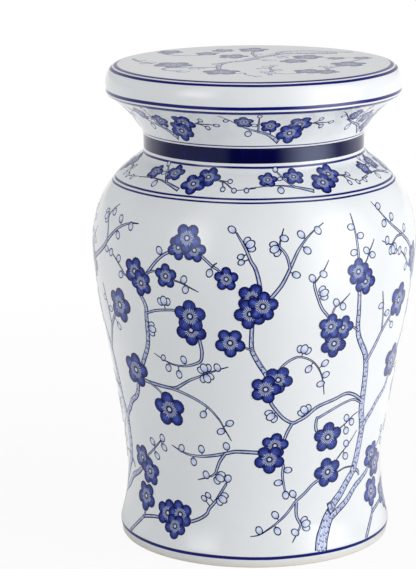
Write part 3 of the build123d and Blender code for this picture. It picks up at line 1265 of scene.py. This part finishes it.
def painted_glaze(glazes):
    """White glaze with cobalt rings on the outside, and bare clay on the inside."""
    material, desk, shader = new_material("painted_white_glaze")
    vector = object_place(desk)
    x, y, z = desk.separate(vector)
    sway = desk.times(desk.minus(noise(desk, vector, SWAY_GRAIN), NOISE_MIDDLE), RING_SWAY)
    height = desk.plus(z, sway)
    around = desk.plus(desk.length(x, y), sway)
    on_top = desk.math("GREATER_THAN", z, SEAT_RING_LOWEST * MM)
    lines = 0.0
    for low, high in WALL_RINGS:
        lines = desk.most(lines, ring_line(desk, height, low, high))
    for low, high in SEAT_RING_LINES:
        lines = desk.most(lines, desk.times(ring_line(desk, around, low, high), on_top))
    bare = desk.fade(attribute(desk, "outside"), *GLAZED_SPAN)
    pooled = desk.ramp(noise(desk, vector, POOL_GRAIN, detail=4.0), *NOISE_SPAN)
    ground = desk.mix(pooled, rgba(glazes.white), rgba(glazes.white_pooled))
    foot = desk.fade(desk.plus(z, desk.times(sway, RUN_OUT_SWAY)), *RUN_OUT)
    ground = desk.mix(foot, ground, rgba(glazes.bisque))
    painted = desk.mix(lines, ground, rgba(glazes.ring))
    desk.feed(shader.inputs["Base Color"], desk.mix(bare, painted, rgba(glazes.clay)))
    fired_gloss(desk, shader, vector, glazes, desk.most(bare, foot))
    return material


def cobalt_glaze(glazes):
    """Solid cobalt glaze, a little thinner in streaks."""
    material, desk, shader = new_material("cobalt_neck_glaze")
    vector = object_place(desk)
    streaks = desk.add("ShaderNodeMapping", {"Vector": vector, "Scale": STREAK_STRETCH}).outputs["Vector"]
    thin = desk.ramp(noise(desk, streaks, STREAK_GRAIN, detail=5.0), *STREAK_SPAN)
    desk.feed(shader.inputs["Base Color"], desk.mix(thin, rgba(glazes.band), rgba(glazes.band_thin)))
    shader.inputs["Specular Tint"].default_value = rgba(glazes.cobalt_gleam)
    fired_gloss(desk, shader, vector, glazes)
    return material


def clay_finish(glazes):
    """Bare fired clay, smoothed by a finger."""
    material, desk, shader = new_material("bare_luting_clay")
    vector = object_place(desk)
    grain = noise(desk, vector, CLAY_GRAIN, detail=6.0)
    desk.feed(shader.inputs["Base Color"], desk.mix(grain, rgba(glazes.clay), rgba(glazes.bisque)))
    desk.feed(shader.inputs["Roughness"], desk.ramp(grain, *CLAY_SPAN, glazes.bare_roughness, 1.0))
    waves = noise(desk, vector, CLAY_WAVE_GRAIN)
    bump = desk.add("ShaderNodeBump", {"Distance": glazes.wave, "Height": waves})
    desk.feed(shader.inputs["Normal"], bump.outputs["Normal"])
    return material


def drawn_outline(desk, margin, width):
    """1 within a brush line's width of an edge."""
    return desk.fade(margin, *(desk.times(width, share) for share in LINE_EDGE))


def rim_margin(desk, share):
    """Distance of a motif's point from its rim, from the share of the way out that it lies at."""
    return desk.times(desk.minus(1.0, share), attribute(desk, "size"))


def finish_paint(desk, shader, face, side, glazes):
    """Paint on the face of a raised shape, glaze on its side, and the gloss of both."""
    desk.feed(shader.inputs["Base Color"], desk.mix(side, face, rgba(glazes.white)))
    fired_gloss(desk, shader, object_place(desk), glazes)


def motif_side(desk, share):
    """1 on the side of a motif, below its rim."""
    return desk.math("GREATER_THAN", share, SIDE_SHARE)


def blossom_paint(paints, glazes):
    """Cobalt petals with dark creases, a ring of pale stamens and an eye."""
    material, desk, shader = new_material("blossom_cobalt")
    x, y, share = desk.separate(attribute(desk, "bloom", "Vector"))
    tone = attribute(desk, "tone")
    radius = desk.length(x, y)
    angle = desk.math("ARCTAN2", x, y)
    petal = desk.math("FRACT", desk.plus(desk.times(angle, PETALS / (2 * pi)), 0.5))
    aside = desk.times(desk.minus(petal, 0.5), 2 * pi / PETALS)
    to_gap = desk.times(radius, desk.minus(pi / PETALS, desk.magnitude(aside)))
    out = desk.minus(desk.times(radius, desk.math("COSINE", aside)), PETAL_REACH)
    from_middle = desk.length(out, desk.times(radius, desk.math("SINE", aside)))
    stroke = desk.combine(desk.times(petal, PETAL_STREAKS), radius, desk.times(tone, TONE_SHIFT))
    streak = desk.ramp(noise(desk, stroke, PETAL_GRAIN, detail=3.0), *PETAL_STREAK_SPAN)
    light = desk.times(desk.fade(from_middle, *PETAL_MIDDLE), streak)
    light = desk.most(light, desk.ramp(tone, *PALE_TONES, 0.0, PALE_WASH))
    wash = desk.mix(light, rgba(paints.petal), rgba(paints.petal_thin))
    edge = drawn_outline(desk, rim_margin(desk, share), paints.line_width)
    drawn = desk.mix(desk.most(desk.fade(to_gap, *PETAL_CREASE), edge), wash, rgba(paints.outline))
    ray = desk.ramp(desk.math("COSINE", desk.times(angle, STAMENS)), *RAY_SPAN)
    sweep = desk.combine(desk.times(angle, RAY_SWEEP), tone, 0.0)
    ray_end = desk.ramp(noise(desk, sweep, RAY_GRAIN), *NOISE_SPAN, *RAY_ENDS)
    ray_share = desk.fade(desk.minus(radius, ray_end), -RAY_EDGE, RAY_EDGE)
    rays = desk.times(desk.times(ray, RAY_STRENGTH), ray_share)
    stamens = desk.mix(rays, drawn, rgba(paints.stamen))
    ringed = desk.mix(desk.fade(radius, *EYE), stamens, rgba(paints.outline))
    face = desk.mix(desk.fade(radius, *PUPIL), ringed, rgba(paints.stamen))
    shader.inputs["Specular Tint"].default_value = rgba(glazes.cobalt_gleam)
    finish_paint(desk, shader, face, motif_side(desk, share), glazes)
    return material


def bud_paint(paints, glazes):
    """Pale buds with a dark outline."""
    material, desk, shader = new_material("bud_cobalt")
    _, y, share = desk.separate(attribute(desk, "bloom", "Vector"))
    wash = desk.mix(desk.fade(y, *BUD_FOOT), rgba(paints.bud), rgba(paints.bud_deep))
    edge = drawn_outline(desk, rim_margin(desk, share), paints.line_width)
    face = desk.mix(edge, wash, rgba(paints.outline))
    finish_paint(desk, shader, face, motif_side(desk, share), glazes)
    return material


def in_cells(desk, off_middle, along, cell):
    """A place on a bough, counted in cells across and along it."""
    return desk.combine(desk.over(off_middle, cell[0]), desk.over(along, cell[1]), 0.0)


def bark_ticks(desk, off_middle, along):
    """Small crescents strewn over the bark."""
    bark = in_cells(desk, off_middle, along, BARK_CELL)
    strewn = {"Vector": bark, "Scale": 1.0, "Randomness": BARK_RANDOM}
    cells = desk.add("ShaderNodeTexVoronoi", strewn, voronoi_dimensions="2D")
    centre = desk.separate(cells.outputs["Position"])
    place = desk.separate(bark)
    across = desk.minus(place[0], centre[0])
    up = desk.minus(place[1], centre[1])
    off_arc = desk.magnitude(desk.minus(desk.length(across, up), TICK_RADIUS))
    return desk.times(desk.fade(off_arc, *TICK_WIDTH), desk.fade(up, *TICK_CUT))


def bough_paint(paints, glazes):
    """Pale branches with a dark line on each side and ticks of bark; thin twigs are all line."""
    material, desk, shader = new_material("bough_cobalt")
    across = attribute(desk, "across")
    half_width = attribute(desk, "half_width")
    along = attribute(desk, "along")
    inward = desk.times(desk.minus(1.0, desk.magnitude(across)), half_width)
    margin = desk.math("MINIMUM", inward, attribute(desk, "to_tip"))
    thin = desk.most(desk.times(half_width, TWIG_LINE_SHARE), TWIG_LINE * MM)
    line = drawn_outline(desk, margin, desk.math("MINIMUM", thin, paints.line_width))
    off_middle = desk.times(across, half_width)
    ticks = desk.times(bark_ticks(desk, off_middle, along), desk.ramp(half_width, *TICKED_BOUGHS))
    brush = noise(desk, in_cells(desk, off_middle, along, BRUSH_MARK), scale=1.0, detail=3.0)
    wash = desk.mix(desk.ramp(brush, *BRUSH_SPAN), rgba(paints.bough), rgba(paints.bough_pale))
    face = desk.mix(desk.most(line, ticks), wash, rgba(paints.outline))
    side = desk.math("LESS_THAN", attribute(desk, "face"), SIDE_FACE)
    finish_paint(desk, shader, face, side, glazes)
    return material


# The studio: azimuths from the camera's side round to the right, distances in metres

WHITE = (1.0, 1.0, 1.0, 1.0)
KEY_AZIMUTH = radians(63)
KEY_DISTANCE = 2.2
KEY_HEIGHT = 0.75
KEY_AIM_HEIGHT = 0.24
KEY_SIZE = (1.0, 1.3)
SENSOR_HEIGHT = 36.0

# What the glaze mirrors: the edges of each light and how bright it is, by azimuth or by how far up
ROOM_EDGE = (radians(20), radians(34))
ROOM_GLOSS = (0.03, 0.46)
BACKDROP_EDGE = (radians(95), radians(125))
HORIZON = (-0.02, 0.1)
HORIZON_GLOSS = (0.54, 0.17)
KEY_EDGE = (radians(4), radians(38))
KEY_GLOSS = 3.8
KEY_TOP = (0.4, 1.0)
KEY_TOP_GLOSS = 0.3
FILL_AZIMUTH = radians(-46)
FILL_EDGE = (radians(4), radians(22))
FILL_GLOSS = 3.4
FILL_FOOT = (-0.1, 0.25)
WALL_TOP = (0.3, 0.8)
WALL_TOP_GLOSS = 0.2

# The floor: its colour, how white the camera sees it, and how bright the glaze mirrors it
FLOOR_RADIUS = 1.2
FLOOR_POINTS = 96
FLOOR_COLOUR = (0.85, 0.85, 0.85)
FLOOR_ROUGHNESS = 0.9
FLOOR_WHITE = 0.9
FLOOR_SHADE_RADIUS = 0.3
FLOOR_FADE_RADIUS = 0.4
FLOOR_BACK = (-0.2, 0.3)
FLOOR_GLOSS = 0.25
FLOOR_RIGHT = (0.0, 0.3)
FLOOR_KEY_GLOSS = 1.15


def seen_rays(desk):
    """1 for camera rays, and 1 for the rays that see the background in the glaze."""
    path = desk.add("ShaderNodeLightPath").outputs
    return path["Is Camera Ray"], desk.most(path["Is Glossy Ray"], path["Is Transmission Ray"])


def mirrored_studio(desk, direction):
    """What the glaze mirrors: a dark room behind the camera, pale walls and two softboxes."""
    x, y, up = direction
    azimuth = desk.math("ARCTAN2", x, desk.times(y, -1.0))
    aside = desk.magnitude(azimuth)
    room = desk.ramp(aside, *ROOM_EDGE, *ROOM_GLOSS)
    horizon = desk.ramp(up, *HORIZON, *HORIZON_GLOSS)
    backdrop = desk.times(desk.ramp(aside, *BACKDROP_EDGE), horizon)
    off_fill = desk.magnitude(desk.minus(azimuth, FILL_AZIMUTH))
    fill = desk.times(desk.ramp(off_fill, *FILL_EDGE, FILL_GLOSS, 0.0), desk.ramp(up, *FILL_FOOT))
    walls = desk.plus(desk.plus(room, backdrop), fill)
    off_key = desk.magnitude(desk.minus(azimuth, KEY_AZIMUTH))
    key = desk.ramp(off_key, *KEY_EDGE, KEY_GLOSS, 0.0)
    low_walls = desk.times(walls, desk.ramp(up, *WALL_TOP, 1.0, WALL_TOP_GLOSS))
    low_key = desk.times(key, desk.ramp(up, *KEY_TOP, 1.0, KEY_TOP_GLOSS))
    return desk.plus(low_walls, low_key)


def light_world(studio):
    """White for the camera, even light for the stool, and the studio for what the glaze mirrors."""
    world = bpy.data.worlds.new("studio")
    world.use_nodes = True
    bpy.context.scene.world = world
    desk = NodeDesk(world.node_tree)
    direction = desk.separate(desk.add("ShaderNodeTexCoord").outputs["Generated"])
    camera, mirror = seen_rays(desk)
    walls = desk.times(desk.minus(1.0, mirror), studio.walls)
    lit = desk.plus(walls, desk.times(mirror, mirrored_studio(desk, direction)))
    background = world.node_tree.nodes["Background"]
    background.inputs["Color"].default_value = WHITE
    desk.feed(background.inputs["Strength"], desk.most(lit, camera))


def floor_finish():
    """Pale where the stool shades it, white around it, and a fading glow in what the glaze mirrors."""
    material, desk, shader = new_material("pale_floor")
    shader.inputs["Base Color"].default_value = rgba(FLOOR_COLOUR)
    shader.inputs["Roughness"].default_value = FLOOR_ROUGHNESS
    x, y, _ = desk.separate(object_place(desk))
    out = desk.length(x, y)
    camera, mirror = seen_rays(desk)
    back_glow = desk.ramp(y, *FLOOR_BACK, FLOOR_GLOSS, 1.0)
    key_glow = desk.ramp(x, *FLOOR_RIGHT, 0.0, FLOOR_KEY_GLOSS)
    glow = desk.plus(camera, desk.times(mirror, desk.most(back_glow, key_glow)))
    white = desk.add("ShaderNodeEmission", {"Color": WHITE, "Strength": glow})
    seen_white = desk.times(camera, desk.ramp(out, FLOOR_SHADE_RADIUS, FLOOR_RADIUS, FLOOR_WHITE, 1.0))
    surfaces = {0: desk.most(seen_white, mirror), 1: shader.outputs[0], 2: white.outputs[0]}
    shadowed = desk.add("ShaderNodeMixShader", surfaces)
    clear = desk.add("ShaderNodeBsdfTransparent")
    fade = desk.times(mirror, desk.ramp(out, FLOOR_FADE_RADIUS, FLOOR_RADIUS))
    mixed = desk.add("ShaderNodeMixShader", {0: fade, 1: shadowed.outputs[0], 2: clear.outputs[0]})
    desk.feed(material.node_tree.nodes["Material Output"].inputs["Surface"], mixed.outputs[0])
    return material


def make_floor():
    """A round floor that takes the stool's shadow."""
    rim = []
    for index in range(FLOOR_POINTS):
        angle = 2 * pi * index / FLOOR_POINTS
        rim.append(Vector((FLOOR_RADIUS * cos(angle), FLOOR_RADIUS * sin(angle), 0)))
    floor = link_mesh("studio_floor", rim, faces=[tuple(range(FLOOR_POINTS))])
    floor.data.materials.append(floor_finish())


def make_key_lamp(studio):
    """A soft rectangular lamp on the right."""
    light = bpy.data.lights.new("key_softbox", "AREA")
    light.shape = "RECTANGLE"
    light.size, light.size_y = KEY_SIZE
    light.energy = studio.key_power
    lamp = link_object("key_softbox", light)
    place = Vector((KEY_DISTANCE * sin(KEY_AZIMUTH), -KEY_DISTANCE * cos(KEY_AZIMUTH), KEY_HEIGHT))
    aim = Vector((0.0, 0.0, KEY_AIM_HEIGHT)) - place
    lamp.location = place
    lamp.rotation_euler = aim.to_track_quat("-Z", "Y").to_euler()
    lamp.visible_camera = False
    lamp.visible_glossy = False


def make_camera(studio):
    """The camera at the photograph's viewing angle."""
    pitch, yaw, roll = studio.camera_pitch, studio.camera_yaw, studio.camera_roll
    forward = Vector((-sin(yaw) * cos(pitch), cos(yaw) * cos(pitch), -sin(pitch)))
    level = Vector((cos(yaw), sin(yaw), 0))
    upright = level.cross(forward)
    right = level * cos(roll) + upright * sin(roll)
    up = upright * cos(roll) - level * sin(roll)
    turn = Matrix((right, up, -forward)).transposed().to_4x4()
    camera = bpy.data.cameras.new("camera")
    camera.lens = studio.lens
    camera.sensor_fit = "VERTICAL"
    camera.sensor_height = SENSOR_HEIGHT
    made = link_object("camera", camera)
    made.matrix_world = Matrix.Translation((0, -studio.camera_distance, studio.camera_height)) @ turn
    bpy.context.scene.camera = made


# Operators


class STOOL_OT_turn_sections(bpy.types.Operator):
    """Turns the seven clay sections and glazes them"""

    bl_idname = "stool.turn_sections"
    bl_label = "Turn Clay Sections"

    def execute(self, context):
        glazes = context.scene.stool_glazes
        turning = context.scene.stool_turning
        white = painted_glaze(glazes)
        finishes = {"white_glaze": white, "foot_bisque": white, "cobalt_glaze": cobalt_glaze(glazes)}
        tree = turned_tree()
        inputs = {
            "Segments": turning.segments,
            "Turning Radius": LAY_RADIUS,
            "Sharp Angle": turning.sharp_angle,
            "Weld": WELD,
        }
        for node, (glazed, hidden) in sections().items():
            points = hidden + glazed
            loop = [Vector((point.x * MM - LAY_RADIUS, -point.y * MM, 0)) for point in points]
            # An edge that lies on the axis would turn into nothing.
            edges = [
                (start, end) for start, end in ring_edges(len(points))
                if points[start].x > 0 or points[end].x > 0
            ]
            made = link_mesh("turned_" + node, loop, edges)
            store(made, "outside", [0.0] * len(hidden) + [1.0] * len(glazed))
            slot = SECTION_SLOTS[node]
            settle(made, tree, inputs, finishes[slot])
            seat_piece(made)
            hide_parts(node)
        return {"FINISHED"}


class STOOL_OT_finish_coils(bpy.types.Operator):
    """Gives the clay coils inside their bare clay"""

    bl_idname = "stool.finish_coils"
    bl_label = "Finish Clay Coils"

    def execute(self, context):
        clay = clay_finish(context.scene.stool_glazes)
        for node in COILS:
            for material_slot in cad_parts[node].material_slots:
                material_slot.material = clay
        return {"FINISHED"}


class STOOL_OT_paint_boughs(bpy.types.Operator):
    """Paints the branches on the wall and on the seat"""

    bl_idname = "stool.paint_boughs"
    bl_label = "Paint Branches"

    def execute(self, context):
        scene = context.scene
        material = bough_paint(scene.stool_paints, scene.stool_glazes)
        stroke = make_stroke()
        inputs = {"Stroke": stroke, "Steps": STROKE_STEPS, "Sink": PAINT_SINK * MM}
        lay_paint("boughs", make_paths, bough_tree(), inputs, material)
        bpy.data.objects.remove(stroke)
        return {"FINISHED"}


class STOOL_OT_paint_blossoms(bpy.types.Operator):
    """Paints the blossoms on the wall and on the seat"""

    bl_idname = "stool.paint_blossoms"
    bl_label = "Paint Blossoms"

    def execute(self, context):
        scene = context.scene
        lay_motifs("blossoms", make_blossom(), blossom_paint(scene.stool_paints, scene.stool_glazes))
        return {"FINISHED"}


class STOOL_OT_paint_buds(bpy.types.Operator):
    """Paints the buds on the wall and on the seat"""

    bl_idname = "stool.paint_buds"
    bl_label = "Paint Buds"

    def execute(self, context):
        scene = context.scene
        lay_motifs("buds", make_bud(), bud_paint(scene.stool_paints, scene.stool_glazes))
        return {"FINISHED"}


class STOOL_OT_set_stage(bpy.types.Operator):
    """Sets the floor, the soft studio light and the camera"""

    bl_idname = "stool.set_stage"
    bl_label = "Set Stage"

    def execute(self, context):
        studio = context.scene.stool_studio
        light_world(studio)
        make_floor()
        make_key_lamp(studio)
        make_camera(studio)
        context.scene.view_settings.view_transform = "Standard"
        return {"FINISHED"}


class STOOL_PT_panel(bpy.types.Panel):
    """Lists the steps that make the stool"""

    bl_idname = "STOOL_PT_panel"
    bl_label = "Garden Stool"
    bl_space_type = "VIEW_3D"
    bl_region_type = "UI"
    bl_category = "Stool"

    def draw(self, context):
        for operator in OPERATORS:
            self.layout.operator(operator.bl_idname)


OPERATORS = (
    STOOL_OT_turn_sections,
    STOOL_OT_finish_coils,
    STOOL_OT_paint_boughs,
    STOOL_OT_paint_blossoms,
    STOOL_OT_paint_buds,
    STOOL_OT_set_stage,
)
SETTINGS = {
    "stool_glazes": StoolGlazes,
    "stool_paints": StoolPaints,
    "stool_turning": StoolTurning,
    "stool_studio": StoolStudio,
}


def register():
    for name, group in SETTINGS.items():
        bpy.utils.register_class(group)
        setattr(bpy.types.Scene, name, bpy.props.PointerProperty(type=group))
    for operator in OPERATORS:
        bpy.utils.register_class(operator)
    bpy.utils.register_class(STOOL_PT_panel)


def unregister():
    bpy.utils.unregister_class(STOOL_PT_panel)
    for operator in reversed(OPERATORS):
        bpy.utils.unregister_class(operator)
    for name, group in SETTINGS.items():
        delattr(bpy.types.Scene, name)
        bpy.utils.unregister_class(group)


def main():
    """Makes the whole stool."""
    register()
    bpy.ops.stool.turn_sections()
    bpy.ops.stool.finish_coils()
    bpy.ops.stool.paint_boughs()
    bpy.ops.stool.paint_blossoms()
    bpy.ops.stool.paint_buds()
    bpy.ops.stool.set_stage()


if __name__ == "__main__":
    main()
